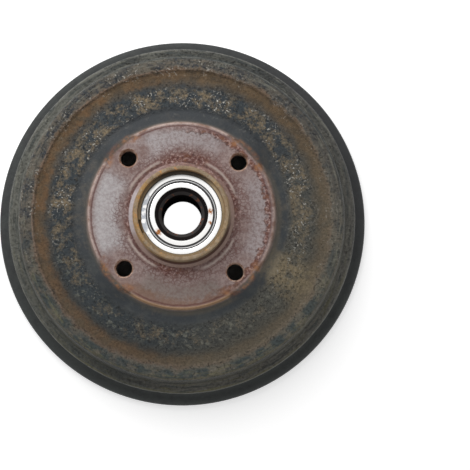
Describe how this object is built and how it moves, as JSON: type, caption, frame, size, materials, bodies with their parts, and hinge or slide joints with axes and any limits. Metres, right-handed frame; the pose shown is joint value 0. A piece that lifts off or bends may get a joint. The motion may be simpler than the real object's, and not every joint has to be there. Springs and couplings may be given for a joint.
{
  "type": "brake drum with hub bearing",
  "caption": "Cast rear brake drum with an integral wheel hub, tapped wheel bolt holes, a centring spigot and a fitted sealed wheel bearing; used and rusted.",
  "frame": {"origin": "on the axle line, in the plane of the open rim that the drum stands on", "axes": "+Z along the axle line towards the wheel, +X midway between two wheel bolt holes"},
  "size_m": [0.246, 0.246, 0.064],
  "materials": {
    "rusted_iron": "rusted casting, machined and stained on the wheel plate and spigot",
    "bearing_steel": "ground and polished",
    "ball_steel": "mirror polished",
    "spring_steel": "dark phosphated",
    "cage_plastic": "moulded",
    "seal_rubber": "moulded on a steel case"
  },
  "bodies": {
    "drum": {"brake_drum": "rusted_iron", "bearing_outer_ring": "bearing_steel", "bearing_snap_ring": "spring_steel", "outboard_seal": "seal_rubber", "inboard_seal": "seal_rubber"},
    "inner_ring": {"outboard_inner_ring": "bearing_steel", "inboard_inner_ring": "bearing_steel"},
    "outboard_row": {"outboard_ball_row": "ball_steel", "outboard_cage": "cage_plastic"},
    "inboard_row": {"inboard_ball_row": "ball_steel", "inboard_cage": "cage_plastic"}
  },
  "joints": [
    {"name": "inner_ring_spin", "type": "hinge", "parent": "drum", "child": "inner_ring", "pos_m": [0, 0, 0.0355], "axis": [0, 0, 1], "continuous": true},
    {"name": "outboard_row_spin", "type": "hinge", "parent": "drum", "child": "outboard_row", "pos_m": [0, 0, 0.045], "axis": [0, 0, 1], "continuous": true},
    {"name": "inboard_row_spin", "type": "hinge", "parent": "drum", "child": "inboard_row", "pos_m": [0, 0, 0.026], "axis": [0, 0, 1], "continuous": true}
  ],
  "couplings": [
    {"joint": "outboard_row_spin", "follows": "inner_ring_spin", "ratio": 0.42},
    {"joint": "inboard_row_spin", "follows": "inner_ring_spin", "ratio": 0.42}
  ]
}
